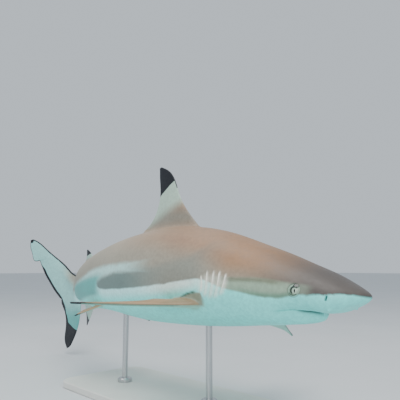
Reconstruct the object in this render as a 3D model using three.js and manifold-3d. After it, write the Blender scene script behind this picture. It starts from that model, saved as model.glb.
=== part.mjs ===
/**
 * Blacktip reef shark (Carcharhinus melanopterus), an adult 1.25 m long, as a still life-size model
 * held over a flat base by two short rods.
 *
 * Frame: millimetres, +Z up, +X the way the trunk heads, +Y the shark's left. The origin is the
 * centre of the base's underside.
 *
 * The body is a loft of superellipse rings along a bent spine. A place on the animal is written
 * (station, side, height): station runs back from the snout along the spine, side is towards the
 * left and height is upwards, both from the spine. Fins are lofts of aerofoil sections.
 */
import * as THREE from 'three';
import Module from 'manifold-3d';

const wasm = await Module();
wasm.setup();

// ---------------------------------------------------------------- driving dimensions, in mm

const TOTAL_LENGTH = 1250;
const GAP = 0.3; // clearance between neighbouring solids
const HALF_GAP = GAP / 2;
const CUT_MARGIN = 2; // how far a cutting solid reaches past what it cuts

// Pose of the spine: degrees at stations, as it bends through a slow swimming stroke.
const BEND_STATIONS = [0, 225, 450, 625, 775, 900, 1025, 1175];
const BEND_HEADING = [-4.6, 0.9, 2.4, -3.1, -15.7, -23.8, 2.9, 25];
const BEND_PITCH = [-1.4, -2.5, -0.7, 6, 8.4, 10.5, 2.5, -4.5];
const TWIST_STATIONS = [0, 450, 750, 900, 1025, 1175];
const TWIST = [-1.4, -3, -1.8, 6, -2.6, 0.2];
const SPINE_STEP = 2.5;
const ANCHOR_STATION = 440; // the station that lies above the origin
const SPINE_HEIGHT = 240; // height of the spine there

// Body profile: station, top, bottom, half width, and height of the widest line.
const PROFILE = [
  [0, -9, -9, 0, -9],
  [12.5, 0, -19.6, 21, -10.5],
  [31, 8, -28, 40, -12.5],
  [62, 22, -40, 52, -12],
  [100, 35, -55.5, 61.5, -10],
  [150, 52, -64, 69.5, -9.5],
  [200, 66.5, -71.5, 75.5, -10],
  [262, 83.5, -80.5, 79, -10],
  [375, 96, -91, 78.5, -7.5],
  [500, 87.5, -91, 68.5, -4],
  [625, 73, -74, 52, -0.5],
  [750, 57, -56, 35, 0],
  [850, 38, -36, 23, 0.5],
  [925, 28, -25, 16, 1],
  [1000, 50, 8, 10, 29],
  [1075, 87, 60, 6, 73],
  [1160, 132, 114, 2.5, 123],
];
// Fullness of the ring below its widest line: under 1 is boxier, as on the flat-bottomed head.
const UPPER_FULLNESS = 0.96;
const LOWER_FULLNESS = [
  [0, 0.88],
  [62, 0.8],
  [125, 0.8],
  [262, 0.86],
  [437, 0.92],
  [750, 1],
];
// Ahead of the throat the snout's underside is flatter: station and bottom, station and fullness.
const SNOUT_BOTTOM = [
  [0, -9],
  [12.5, -19.6],
  [31, -28],
  [58, -36.6],
  [75, -35.7],
  [85, -35.9],
  [105, -38.8],
  [127, -50],
  [165, -58],
];
const SNOUT_FULLNESS = [
  [0, 0.88],
  [12.5, 0.86],
  [31, 0.8],
  [50, 0.8],
  [75, 0.9],
  [90, 0.72],
  [110, 0.62],
];
const THROAT = { start: 112, end: 165 }; // where the snout's underside passes into the throat's
const RING_POINTS = 26;
const RING_SPACING = 30;
const FIRST_RING = 0.4; // the station of the snout's foremost ring
const JAW_RINGS = [73.5, 76, 81, 89, 99]; // extra rings that shape the front of the lower jaw

// Where the body is parted into named lengths.
const HEAD_END = 271;
const SHOULDER_END = 437;
const BELLY_END = 625;
const TAIL_END = 800;
const STALK_END = 925;
const CORE_END = 1160; // end of the fleshy core inside the upper tail lobe

// Head.
const EYE = { station: 87, height: -5.2, radius: 11, sunk: 9 };
const NOSTRIL = { top: [40.6, -10.6], bottom: [42, -15.6], halfWidth: 1.2, depth: 4 };
const NASAL_FLAP = { station: 43, side: 37, height: -27, radii: [3.5, 2.5, 4.5] };
const MOUTH = { front: 72, corner: 127, side: 59, power: 2.2, height: -36.5 };
const JAW_BACK = 165;
// Station and height of the chin's middle line, which hangs below the snout's underside.
const CHIN = [
  [72, -41],
  [73.5, -46],
  [78, -49.8],
  [84, -52.3],
  [92, -54.8],
  [102, -56.8],
  [120, -59.3],
  [165, -66.8],
];
const JAW_FULLNESS = 3.4; // how square the lower jaw's underside is across
const GILLS = {
  tops: [[211, 12], [224, 15], [237, 15], [251, 14], [263, 6]],
  bottoms: [[221, -22], [232, -27], [243, -29], [254, -28], [263, -22]],
  lean: 3, // how far a slit bows forwards at its middle
  halfWidth: 0.9,
  depth: 4,
};

// Fins. Outlines of the upright ones are [station, height]. The rear edge has two legs, the inner
// margin from the body to the free tip, and the rear margin from there up to the fin's tip.
const EDGE = 0.35; // half the thickness of a fin's rear edge
const FLARE_REACH = 0.09; // how far up a fin its root's flare reaches, as a share of its span
const DORSAL_1 = {
  lead: [[332, 82], [356, 104], [385, 132], [409, 166], [421, 192], [440, 216], [466, 230]],
  inner: [[486, 76], [524, 87]],
  rear: [[524, 87], [491, 108], [471, 140], [466, 172], [470, 204], [472, 226]],
  rows: 9, rootHalf: 6, tipHalf: 1.2, flare: 9,
};
const DORSAL_2 = {
  lead: [[722, 50], [738, 64], [756, 78], [776, 89]],
  inner: [[792, 42], [828, 48]],
  rear: [[828, 48], [795, 60], [784, 72], [782, 86]],
  rows: 6, rootHalf: 2.6, tipHalf: 0.8, flare: 4,
};
const ANAL = {
  lead: [[712, -48], [734, -76], [762, -93], [796, -103]],
  inner: [[790, -38], [836, -44]],
  rear: [[836, -44], [808, -64], [802, -82], [802, -100]],
  rows: 6, rootHalf: 2.8, tipHalf: 0.8, flare: 4,
};
const TAIL_UPPER = {
  lead: [[929, -14], [924, 4], [930, 30], [1000, 60], [1050, 85], [1100, 110], [1150, 138],
    [1181, 156], [1202, 163]],
  inner: [[1034, -54], [1062, -18], [1092, 5], [1115, 27], [1138, 51], [1158, 79], [1169, 97]],
  rear: [[1169, 97], [1191, 95], [1202, 116], [1212, 136], [1214, 156]],
  rows: 14, rootHalf: 9, tipHalf: 1.2, flare: 3,
};
const TAIL_LOWER = {
  lead: [[928, 0], [934, -26], [945, -60], [962, -92], [982, -122], [1002, -149]],
  inner: [[1062, -22], [1037, -55]],
  rear: [[1037, -55], [1029, -80], [1029, -110], [1029, -138], [1019, -157]],
  rows: 8, rootHalf: 8, tipHalf: 1.2, flare: 3,
};
// Paired fins are drawn flat: [back along the root, outwards from it]. Their root's place on the
// body is given as station, distance from the middle and height.
const PECTORAL = {
  root: [255, 64, -41],
  lead: [[0, -14], [8, 14], [33, 62], [68, 112], [106, 154], [131, 183]],
  inner: [[66, -14], [71, 12], [106, 41]],
  rear: [[106, 41], [97, 68], [99, 106], [112, 146], [135, 181]],
  rows: 10, rootHalf: 7.5, tipHalf: 1.2, flare: 5,
};
const PELVIC = {
  root: [600, 26, -62],
  lead: [[0, -8], [14, 22], [32, 46], [50, 58]],
  inner: [[62, -8], [62, 2], [94, 22]],
  rear: [[94, 22], [77, 40], [56, 58]],
  rows: 6, rootHalf: 3.5, tipHalf: 0.9, flare: 3,
};
// How each paired fin sits: degrees of backward sweep, rise of the tip and rise of the rear edge.
const PAIRED_FINS = [
  { ...PECTORAL, name: 'pectoral_fin_right', side: -1, sweep: 7, rise: -3, tilt: 1 },
  { ...PECTORAL, name: 'pectoral_fin_left', side: 1, sweep: -16, rise: -16.3, tilt: -21.7 },
  { ...PELVIC, name: 'pelvic_fin_right', side: -1, sweep: 8.5, rise: -25, tilt: -4 },
  { ...PELVIC, name: 'pelvic_fin_left', side: 1, sweep: -40, rise: -26, tilt: 11 },
];
const CHORD_SAMPLES = [1, 0.8, 0.55, 0.3, 0.12, 0.03, 0];

// Stand.
const BASE = { length: 460, width: 210, thickness: 14, corner: 30, chamfer: 2 };
const ROD = { radius: 6, collarRadius: 15, collarHeight: 8, sides: 16 };
const ROD_STATIONS = { stand_rod_front: 310, stand_rod_rear: 560 };

// ---------------------------------------------------------------- curves

/** Natural cubic spline through the points (xs[i], ys[i]), as a function of x. */
function naturalSpline(xs, ys) {
  const last = xs.length - 1;
  const bend = new Array(last + 1).fill(0);
  const carry = new Array(last + 1).fill(0);
  for (let i = 1; i < last; i += 1) {
    const before = xs[i] - xs[i - 1];
    const after = xs[i + 1] - xs[i];
    const turn = (ys[i + 1] - ys[i]) / after - (ys[i] - ys[i - 1]) / before;
    const pivot = 2 * (before + after) - before * carry[i - 1];
    carry[i] = after / pivot;
    bend[i] = (6 * turn - before * bend[i - 1]) / pivot;
  }
  for (let i = last - 1; i > 0; i -= 1) {
    bend[i] -= carry[i] * bend[i + 1];
  }
  return (x) => {
    let i = 0;
    while (i < last - 1 && x > xs[i + 1]) {
      i += 1;
    }
    const width = xs[i + 1] - xs[i];
    const a = (xs[i + 1] - x) / width;
    const b = (x - xs[i]) / width;
    const cubic = (a ** 3 - a) * bend[i] + (b ** 3 - b) * bend[i + 1];
    return a * ys[i] + b * ys[i + 1] + (cubic * width * width) / 6;
  };
}

/** Straight-line interpolation through [x, y] pairs, held at both ends. */
function broken(pairs, x) {
  if (x <= pairs[0][0]) {
    return pairs[0][1];
  }
  for (let i = 1; i < pairs.length; i += 1) {
    if (x <= pairs[i][0]) {
      const [x0, y0] = pairs[i - 1];
      const [x1, y1] = pairs[i];
      return y0 + ((y1 - y0) * (x - x0)) / (x1 - x0);
    }
  }
  return pairs[pairs.length - 1][1];
}

/**
 * A plane curve of one or more legs, each a spline through its points, with a corner where two
 * legs meet. Returns the curve over 0..1 and where on it the first corner lies.
 */
function legsCurve(...legs) {
  const pieces = legs.map((points) => {
    const along = [0];
    for (let i = 1; i < points.length; i += 1) {
      const [ax, ay] = points[i - 1];
      const [bx, by] = points[i];
      along.push(along[i - 1] + Math.hypot(bx - ax, by - ay));
    }
    const first = naturalSpline(along, points.map((p) => p[0]));
    const second = naturalSpline(along, points.map((p) => p[1]));
    return { length: along[along.length - 1], at: (d) => [first(d), second(d)] };
  });
  const total = pieces.reduce((sum, piece) => sum + piece.length, 0);
  const at = (t) => {
    let distance = t * total;
    let i = 0;
    while (i < pieces.length - 1 && distance > pieces[i].length) {
      distance -= pieces[i].length;
      i += 1;
    }
    return pieces[i].at(distance);
  };
  return { at, corner: pieces[0].length / total };
}

// ---------------------------------------------------------------- the spine and the body surface

const headingAt = naturalSpline(BEND_STATIONS, BEND_HEADING);
const pitchAt = naturalSpline(BEND_STATIONS, BEND_PITCH);
const twistAt = naturalSpline(TWIST_STATIONS, TWIST);

/** Unit vectors ahead, left and up at a station. */
function axesAt(station) {
  const heading = THREE.MathUtils.degToRad(headingAt(station));
  const pitch = THREE.MathUtils.degToRad(pitchAt(station));
  const twist = THREE.MathUtils.degToRad(twistAt(station));
  const ahead = new THREE.Vector3(
    Math.cos(heading) * Math.cos(pitch),
    Math.sin(heading) * Math.cos(pitch),
    Math.sin(pitch),
  );
  const level = new THREE.Vector3(-Math.sin(heading), Math.cos(heading), 0);
  const left = level.applyAxisAngle(ahead, twist);
  const up = new THREE.Vector3().crossVectors(ahead, left);
  return { ahead, left, up };
}

/** The spine's points every SPINE_STEP, found by stepping back along its heading. */
function traceSpine() {
  const points = [new THREE.Vector3()];
  const count = Math.ceil(TOTAL_LENGTH / SPINE_STEP);
  for (let i = 0; i < count; i += 1) {
    const { ahead } = axesAt((i + 0.5) * SPINE_STEP);
    points.push(points[i].clone().addScaledVector(ahead, -SPINE_STEP));
  }
  const anchor = points[ANCHOR_STATION / SPINE_STEP].clone();
  anchor.z -= SPINE_HEIGHT;
  return points.map((point) => point.sub(anchor));
}
const SPINE = traceSpine();

/** The point of the row's frame at a (station, side, height) of the animal. */
function place(station, side, height) {
  const step = Math.min(Math.max(station / SPINE_STEP, 0), SPINE.length - 1.001);
  const i = Math.floor(step);
  const { left, up } = axesAt(station);
  const onSpine = SPINE[i].clone().lerp(SPINE[i + 1], step - i);
  return onSpine.addScaledVector(left, side).addScaledVector(up, height);
}

// The profile is splined over the root of the station, which rounds the snout.
const warp = (station) => Math.sqrt(Math.max(station, 0) / TOTAL_LENGTH);
const PROFILE_WARP = PROFILE.map((row) => warp(row[0]));
const [topAt, bottomAt, halfWidthAt, beltAt] = [1, 2, 3, 4].map((column) => {
  const curve = naturalSpline(PROFILE_WARP, PROFILE.map((row) => row[column]));
  return (station) => curve(warp(station));
});

const snoutBottomAt = naturalSpline(
  SNOUT_BOTTOM.map((row) => warp(row[0])),
  SNOUT_BOTTOM.map((row) => row[1]),
);

/** Height of a superelliptic underside at a share of the half width. */
function bowl(belt, bottom, power, share) {
  return belt + (bottom - belt) * (1 - share ** (2 / power)) ** (power / 2);
}

/** Height of the body's underside at a station and side: the snout and jaw, then the throat. */
function undersideAt(station, side) {
  const belt = beltAt(station);
  const share = Math.min(Math.abs(side) / halfWidthAt(station), 1);
  const throat = bowl(belt, bottomAt(station), broken(LOWER_FULLNESS, station), share);
  if (station >= THROAT.end) {
    return throat;
  }
  const bottom = snoutBottomAt(warp(station));
  let snout = bowl(belt, bottom, broken(SNOUT_FULLNESS, station), share);
  if (station > MOUTH.front) {
    const back = (station - MOUTH.front) / (MOUTH.corner - MOUTH.front);
    const across = Math.min(Math.abs(side) / (MOUTH.side * back ** (1 / MOUTH.power)), 1);
    snout += (broken(CHIN, station) - bottom) * (1 - across ** JAW_FULLNESS);
  }
  return snout + (throat - snout) * THREE.MathUtils.smoothstep(station, THROAT.start, THROAT.end);
}

/** Side and height of the body surface at a station, at an angle from the left round by the top. */
function ringPoint(station, angle, grow = 0) {
  const cos = Math.cos(angle);
  const sin = Math.sin(angle);
  const above = sin >= 0;
  const power = above ? UPPER_FULLNESS : broken(LOWER_FULLNESS, station);
  const across = Math.sign(cos) * Math.abs(cos) ** power;
  const rise = Math.abs(sin) ** power;
  const side = (halfWidthAt(station) + grow) * across;
  if (above) {
    const belt = beltAt(station);
    return [side, belt + (topAt(station) + grow - belt) * rise];
  }
  return [side, undersideAt(station, halfWidthAt(station) * across) - grow * rise];
}

/** Half width of the body surface at a station and height, apart from the jaw. */
function widthAt(station, height) {
  const belt = beltAt(station);
  const onSnout = station < THROAT.start;
  let power = UPPER_FULLNESS;
  let reach = topAt(station) - belt;
  if (height < belt) {
    power = broken(onSnout ? SNOUT_FULLNESS : LOWER_FULLNESS, station);
    reach = (onSnout ? snoutBottomAt(warp(station)) : bottomAt(station)) - belt;
  }
  const share = Math.min((height - belt) / reach, 1) ** (2 / power);
  return halfWidthAt(station) * (1 - share) ** (power / 2);
}

// ---------------------------------------------------------------- solids

/** A solid from a closed triangle mesh, turned so that its faces point out. */
function solidFrom(points, triangles) {
  const vertProperties = new Float32Array(points.flatMap((p) => [p.x, p.y, p.z]));
  const volume = triangles.reduce((sum, [a, b, c]) => {
    const normal = new THREE.Vector3().crossVectors(points[b], points[c]);
    return sum + points[a].dot(normal);
  }, 0);
  const facing = volume > 0 ? triangles : triangles.map(([a, b, c]) => [a, c, b]);
  const triVerts = new Uint32Array(facing.flat());
  return new wasm.Manifold(new wasm.Mesh({ numProp: 3, vertProperties, triVerts }));
}

/** A solid skinned over rings of equal point counts, with a fan over each end ring. */
function loft(rings) {
  const points = rings.flat();
  const count = rings[0].length;
  const triangles = [];
  for (let r = 0; r < rings.length - 1; r += 1) {
    for (let k = 0; k < count; k += 1) {
      const a = r * count + k;
      const b = r * count + ((k + 1) % count);
      triangles.push([a, b, a + count], [b, b + count, a + count]);
    }
  }
  [0, rings.length - 1].forEach((r) => {
    const centre = rings[r].reduce((sum, p) => sum.add(p), new THREE.Vector3()).divideScalar(count);
    points.push(centre);
    for (let k = 0; k < count; k += 1) {
      const a = r * count + k;
      const b = r * count + ((k + 1) % count);
      triangles.push(r === 0 ? [b, a, points.length - 1] : [a, b, points.length - 1]);
    }
  });
  return solidFrom(points, triangles);
}

/** A solid from a three.js geometry, its vertices merged by place. */
function solidFromGeometry(geometry) {
  const plain = geometry.index ? geometry.toNonIndexed() : geometry;
  const { array } = plain.attributes.position;
  const seen = new Map();
  const points = [];
  const corners = [];
  for (let i = 0; i < array.length; i += 3) {
    const key = [array[i], array[i + 1], array[i + 2]].map((v) => Math.round(v * 1e4)).join();
    if (!seen.has(key)) {
      seen.set(key, points.length);
      points.push(new THREE.Vector3(array[i], array[i + 1], array[i + 2]));
    }
    corners.push(seen.get(key));
  }
  const triangles = [];
  for (let i = 0; i < corners.length; i += 3) {
    const [a, b, c] = corners.slice(i, i + 3);
    if (a !== b && b !== c && c !== a) {
      triangles.push([a, b, c]);
    }
  }
  return solidFrom(points, triangles);
}

/** The stations that carry rings: close together at the snout, and one at every cut. */
function ringStations() {
  const list = [FIRST_RING];
  const cuts = [HEAD_END, SHOULDER_END, BELLY_END, TAIL_END, STALK_END, CORE_END];
  cuts.forEach((cut) => {
    const start = list[list.length - 1];
    const near = [];
    let station = start;
    while (station < cut) {
      near.push(station);
      station += Math.min(Math.max(0.35 * station, 2.5), RING_SPACING);
    }
    const stretch = (cut - start) / (station - start);
    near.slice(1).forEach((each) => list.push(start + (each - start) * stretch));
    list.push(cut);
  });
  return [...list, ...JAW_RINGS].sort((a, b) => a - b);
}
const RING_STATIONS = ringStations();

/** The rings' stations in a stretch, with its two ends. */
function stationsBetween(from, to) {
  return [from, ...RING_STATIONS.filter((each) => each > from + 1 && each < to - 1), to];
}

/** The body between two stations, its surface grown outwards by a clearance. */
function bodyLength(from, to, grow = 0) {
  const rings = stationsBetween(from, to).map((station) => {
    const ring = [];
    for (let k = 0; k < RING_POINTS; k += 1) {
      const [side, height] = ringPoint(station, (2 * Math.PI * k) / RING_POINTS, grow);
      ring.push(place(station, side, height));
    }
    return ring;
  });
  return loft(rings);
}

/** A fin: aerofoil sections from its root row to its tip row, put in place by a mapping. */
function fin(shape, toPlace, grow = 0) {
  const lead = legsCurve(shape.lead);
  const trail = legsCurve(shape.inner, shape.rear);
  const steps = [0, trail.corner / 2, trail.corner];
  for (let i = 1; i <= shape.rows; i += 1) {
    const share = Math.sin(((i / shape.rows) * Math.PI) / 2) ** 1.15;
    steps.push(trail.corner + (1 - trail.corner) * share);
  }
  const rows = steps.map((t) => {
    const front = new THREE.Vector2(...lead.at(t));
    const back = new THREE.Vector2(...trail.at(t));
    const outwards = back.clone().sub(front).setLength(grow);
    const taper = shape.rootHalf + (shape.tipHalf - shape.rootHalf) * t ** 0.8;
    const half = taper + shape.flare * Math.exp(-t / FLARE_REACH);
    return { front: front.sub(outwards), back: back.add(outwards), half };
  });
  if (grow > 0) {
    const [root, next] = rows;
    const inwards = root.front.clone().sub(next.front).setLength(grow);
    const front = root.front.clone().add(inwards);
    const back = root.back.clone().add(inwards);
    rows.unshift({ front, back, half: root.half });
  }
  const rings = rows.map(({ front, back, half }) => {
    const section = (u, sign) => {
      const swell = 2.6 * Math.sqrt(u) * (1 - u);
      const offset = u === 0 ? 0 : sign * (EDGE + half * swell + grow);
      const point = front.clone().lerp(back, u);
      return toPlace(point.x, point.y, offset);
    };
    const upper = CHORD_SAMPLES.map((u) => section(u, 1));
    const lower = CHORD_SAMPLES.slice(0, -1).reverse().map((u) => section(u, -1));
    return [...upper, ...lower];
  });
  return loft(rings);
}

/** Mapping of an upright fin: its outline lies in the body's middle plane. */
const upright = (station, height, offset) => place(station, offset, height);

/** Mapping of a paired fin: a flat blade turned about its root. */
function pairedMapping({ side, root, sweep, rise, tilt }) {
  const [station, out, height] = root;
  const { ahead, left, up } = axesAt(station + 30);
  const outwards = left.clone().multiplyScalar(side);
  const blade = new THREE.Matrix4().makeBasis(ahead.clone().negate(), outwards, up);
  const turn = new THREE.Matrix4().makeRotationZ(THREE.MathUtils.degToRad(-sweep));
  turn.premultiply(new THREE.Matrix4().makeRotationX(THREE.MathUtils.degToRad(rise)));
  turn.premultiply(new THREE.Matrix4().makeRotationY(THREE.MathUtils.degToRad(-tilt)));
  blade.multiply(turn);
  const origin = place(station, side * out, height);
  return (back, outward, offset) => {
    const point = new THREE.Vector3(back, outward, offset);
    return point.applyMatrix4(blade).add(origin);
  };
}

/** A thin wedge that cuts a slit into the body's side along a line of [station, height]. */
function slitCutter(line, side, halfWidth, depth) {
  return loft(line.map(([station, height]) => {
    const surface = widthAt(station, height);
    return [
      place(station - halfWidth * 1.6, side * (surface + CUT_MARGIN), height),
      place(station, side * (surface - depth), height),
      place(station + halfWidth * 1.6, side * (surface + CUT_MARGIN), height),
    ];
  }));
}

/** An ellipsoid with its axes along ahead, left and up at a station. */
function ellipsoid(station, side, height, radii, [around, rows]) {
  const ball = new THREE.SphereGeometry(1, around, rows);
  const { ahead, left, up } = axesAt(station);
  ball.rotateX(Math.PI / 2);
  ball.scale(...radii);
  const frame = new THREE.Matrix4().makeBasis(ahead, left, up);
  ball.applyMatrix4(frame.setPosition(place(station, side, height)));
  return solidFromGeometry(ball);
}

// ---------------------------------------------------------------- the head

/** The block under the mouth line that parts the lower jaw from the head. */
function jawBlock(grow) {
  const outline = [];
  const steps = 12;
  for (let i = 0; i <= steps; i += 1) {
    const across = -1 + (2 * i) / steps;
    const station = MOUTH.front + (MOUTH.corner - MOUTH.front) * Math.abs(across) ** MOUTH.power;
    outline.push([station - grow, across * (MOUTH.side + grow)]);
  }
  const back = JAW_BACK + grow;
  const reach = MOUTH.side + grow;
  outline.push([MOUTH.corner, reach + 2 * CUT_MARGIN], [back, reach]);
  outline.push([back, -reach], [MOUTH.corner, -reach - 2 * CUT_MARGIN]);
  const level = (height) => outline.map(([station, side]) => place(station, side, height));
  return loft([level(MOUTH.height + grow), level(bottomAt(JAW_BACK) - 10 * CUT_MARGIN)]);
}

function eyeballs(grow) {
  return [-1, 1].map((side) => {
    const centre = side * (widthAt(EYE.station, EYE.height) - EYE.sunk);
    const radius = EYE.radius + grow;
    return ellipsoid(EYE.station, centre, EYE.height, [radius, radius, radius], [18, 10]);
  });
}

function gillLine(index) {
  const [topStation, topHeight] = GILLS.tops[index];
  const [bottomStation, bottomHeight] = GILLS.bottoms[index];
  return [0, 1 / 3, 2 / 3, 1].map((t) => {
    const bow = GILLS.lean * 4 * t * (1 - t);
    const station = topStation + (bottomStation - topStation) * t - bow;
    return [station, topHeight + (bottomHeight - topHeight) * t];
  });
}

function buildHead() {
  const whole = bodyLength(FIRST_RING, HEAD_END - HALF_GAP);
  const jaw = whole.intersect(jawBlock(-HALF_GAP));
  let head = whole.subtract(jawBlock(HALF_GAP));
  eyeballs(GAP).forEach((ball) => {
    head = head.subtract(ball);
  });
  [-1, 1].forEach((side) => {
    for (let index = 0; index < GILLS.tops.length; index += 1) {
      head = head.subtract(slitCutter(gillLine(index), side, GILLS.halfWidth, GILLS.depth));
    }
    const slit = [NOSTRIL.top, NOSTRIL.bottom];
    const nostril = slitCutter(slit, side, NOSTRIL.halfWidth, NOSTRIL.depth);
    const { station, side: out, height, radii } = NASAL_FLAP;
    head = head.subtract(nostril).add(ellipsoid(station, side * out, height, radii, [8, 6]));
  });
  return { head, lower_jaw: jaw };
}

// ---------------------------------------------------------------- assembly

const COLOURS = {
  skin_back: [0x9a8672, 0.55, 0],
  skin_fin: [0x8f8070, 0.55, 0],
  skin_belly: [0xe4e6df, 0.5, 0],
  eye: [0xa9b39a, 0.15, 0],
  stand_base: [0xdcdcd8, 0.5, 0],
  stand_rod: [0xb8b8b8, 0.35, 1],
};

const shark = new THREE.Group();

/** Puts a solid's largest body in the group as a named mesh. */
function addNode(name, solid, finish) {
  const bodies = solid.decompose().sort((a, b) => b.volume() - a.volume());
  const mesh = bodies[0].getMesh();
  const geometry = new THREE.BufferGeometry();
  const positions = new Float32Array(mesh.vertProperties);
  geometry.setAttribute('position', new THREE.BufferAttribute(positions, 3));
  geometry.setIndex(new THREE.BufferAttribute(new Uint32Array(mesh.triVerts), 1));
  geometry.computeVertexNormals();
  const [color, roughness, metalness] = COLOURS[finish];
  const material = new THREE.MeshStandardMaterial({ color, roughness, metalness });
  const node = new THREE.Mesh(geometry, material);
  node.name = name;
  shark.add(node);
}

/** The head, lower jaw and eyes. */
function addHead() {
  const { head, lower_jaw: jaw } = buildHead();
  addNode('head', head, 'skin_back');
  addNode('lower_jaw', jaw, 'skin_belly');
  const [right, left] = eyeballs(0);
  addNode('eye_right', right, 'eye');
  addNode('eye_left', left, 'eye');
}

/** The trunk and tail, in lengths parted by thin cuts. */
function addTrunk() {
  const lengths = [
    ['trunk_front', HEAD_END, SHOULDER_END],
    ['trunk_rear', SHOULDER_END, BELLY_END],
    ['tail_front', BELLY_END, TAIL_END],
    ['tail_stalk', TAIL_END, STALK_END],
  ];
  lengths.forEach(([name, from, to]) => {
    addNode(name, bodyLength(from + HALF_GAP, to - HALF_GAP), 'skin_back');
  });
}

/** Every fin, cut back from the body it grows from. */
function addFins() {
  const grownBody = bodyLength(FIRST_RING, STALK_END + HALF_GAP, GAP);
  const uprights = { first_dorsal_fin: DORSAL_1, second_dorsal_fin: DORSAL_2, anal_fin: ANAL };
  Object.entries(uprights).forEach(([name, shape]) => {
    addNode(name, fin(shape, upright).subtract(grownBody), 'skin_fin');
  });
  const grownJaw = jawBlock(GAP);
  PAIRED_FINS.forEach((each) => {
    const blade = fin(each, pairedMapping(each));
    addNode(each.name, blade.subtract(grownBody).subtract(grownJaw), 'skin_fin');
  });
  const core = bodyLength(STALK_END + HALF_GAP, CORE_END);
  const grownCore = bodyLength(STALK_END + HALF_GAP, CORE_END, GAP);
  const upper = fin(TAIL_UPPER, upright).subtract(grownBody).add(core);
  addNode('caudal_fin_upper_lobe', upper, 'skin_fin');
  const lower = fin(TAIL_LOWER, upright).subtract(fin(TAIL_UPPER, upright, GAP));
  addNode('caudal_fin_lower_lobe', lower.subtract(grownCore).subtract(grownBody), 'skin_fin');
}

/** The flat base: a rounded plate with a small chamfer along its top edge. */
function addBase() {
  const { length, width, thickness, corner, chamfer } = BASE;
  const halfLength = length / 2 - chamfer - corner;
  const halfWidth = width / 2 - chamfer - corner;
  const outline = new THREE.Shape();
  outline.absarc(halfLength, halfWidth, corner, 0, Math.PI / 2);
  outline.absarc(-halfLength, halfWidth, corner, Math.PI / 2, Math.PI);
  outline.absarc(-halfLength, -halfWidth, corner, Math.PI, 1.5 * Math.PI);
  outline.absarc(halfLength, -halfWidth, corner, 1.5 * Math.PI, 2 * Math.PI);
  const plate = new THREE.ExtrudeGeometry(outline, {
    depth: thickness - 2 * chamfer,
    bevelThickness: chamfer,
    bevelSize: chamfer,
    bevelSegments: 1,
    curveSegments: 5,
  });
  plate.translate(0, 0, chamfer);
  addNode('stand_base', solidFromGeometry(plate), 'stand_base');
}

/** The two rods, each with a collar on the base, cut off where they meet the belly. */
function addRods() {
  const grownBody = bodyLength(HEAD_END, BELLY_END, GAP);
  Object.entries(ROD_STATIONS).forEach(([name, station]) => {
    const foot = place(station, 0, bottomAt(station));
    const start = BASE.thickness + GAP;
    const profile = [
      [0, start],
      [ROD.collarRadius, start],
      [ROD.collarRadius, start + ROD.collarHeight - 2],
      [ROD.collarRadius - 2, start + ROD.collarHeight],
      [ROD.radius, start + ROD.collarHeight],
      [ROD.radius, foot.z + 15],
      [0, foot.z + 15],
    ];
    const corners = profile.map(([r, z]) => new THREE.Vector2(r, z));
    const rod = new THREE.LatheGeometry(corners, ROD.sides);
    rod.rotateX(Math.PI / 2);
    rod.translate(foot.x, foot.y, 0);
    addNode(name, solidFromGeometry(rod).subtract(grownBody), 'stand_rod');
  });
}

addHead();
addTrunk();
addFins();
addBase();
addRods();

export default shark;
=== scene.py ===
"""Blacktip reef shark, life size, on a display stand.

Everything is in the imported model's frame: +X the way the trunk heads, +Y the shark's left, +Z up,
the origin under the middle of the stand. The shark's geometry is worked out in millimetres, as in
the CAD, and turned into metres when a mesh is made.

A place on the animal is written (station, side, height): station runs back from the snout along
the bent spine, side is towards the left and height is upwards, both from the spine.
"""

import math

import bmesh
import bpy
import numpy as np
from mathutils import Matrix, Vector
from mathutils.kdtree import KDTree


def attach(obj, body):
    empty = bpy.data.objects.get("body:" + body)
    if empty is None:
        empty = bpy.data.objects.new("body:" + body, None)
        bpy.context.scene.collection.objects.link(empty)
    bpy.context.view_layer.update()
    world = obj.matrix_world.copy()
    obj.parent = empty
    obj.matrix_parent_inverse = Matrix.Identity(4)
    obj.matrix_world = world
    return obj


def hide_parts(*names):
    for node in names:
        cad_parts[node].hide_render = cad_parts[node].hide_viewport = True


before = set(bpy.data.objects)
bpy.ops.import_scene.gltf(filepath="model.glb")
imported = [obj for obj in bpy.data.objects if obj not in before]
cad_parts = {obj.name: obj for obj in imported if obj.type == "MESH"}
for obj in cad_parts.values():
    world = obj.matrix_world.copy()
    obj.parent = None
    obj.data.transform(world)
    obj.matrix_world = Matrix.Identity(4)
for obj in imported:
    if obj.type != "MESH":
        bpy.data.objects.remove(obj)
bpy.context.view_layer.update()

MM = 0.001

# ---------- dimensions, as in the CAD, mm

TOTAL_LENGTH = 1250
BEND_STATIONS = [0, 225, 450, 625, 775, 900, 1025, 1175]
BEND_HEADING = [-4.6, 0.9, 2.4, -3.1, -15.7, -23.8, 2.9, 25]
BEND_PITCH = [-1.4, -2.5, -0.7, 6, 8.4, 10.5, 2.5, -4.5]
TWIST_STATIONS = [0, 450, 750, 900, 1025, 1175]
TWIST = [-1.4, -3, -1.8, 6, -2.6, 0.2]
SPINE_STEP = 2.5
ANCHOR_STATION = 440
SPINE_HEIGHT = 240

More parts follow.
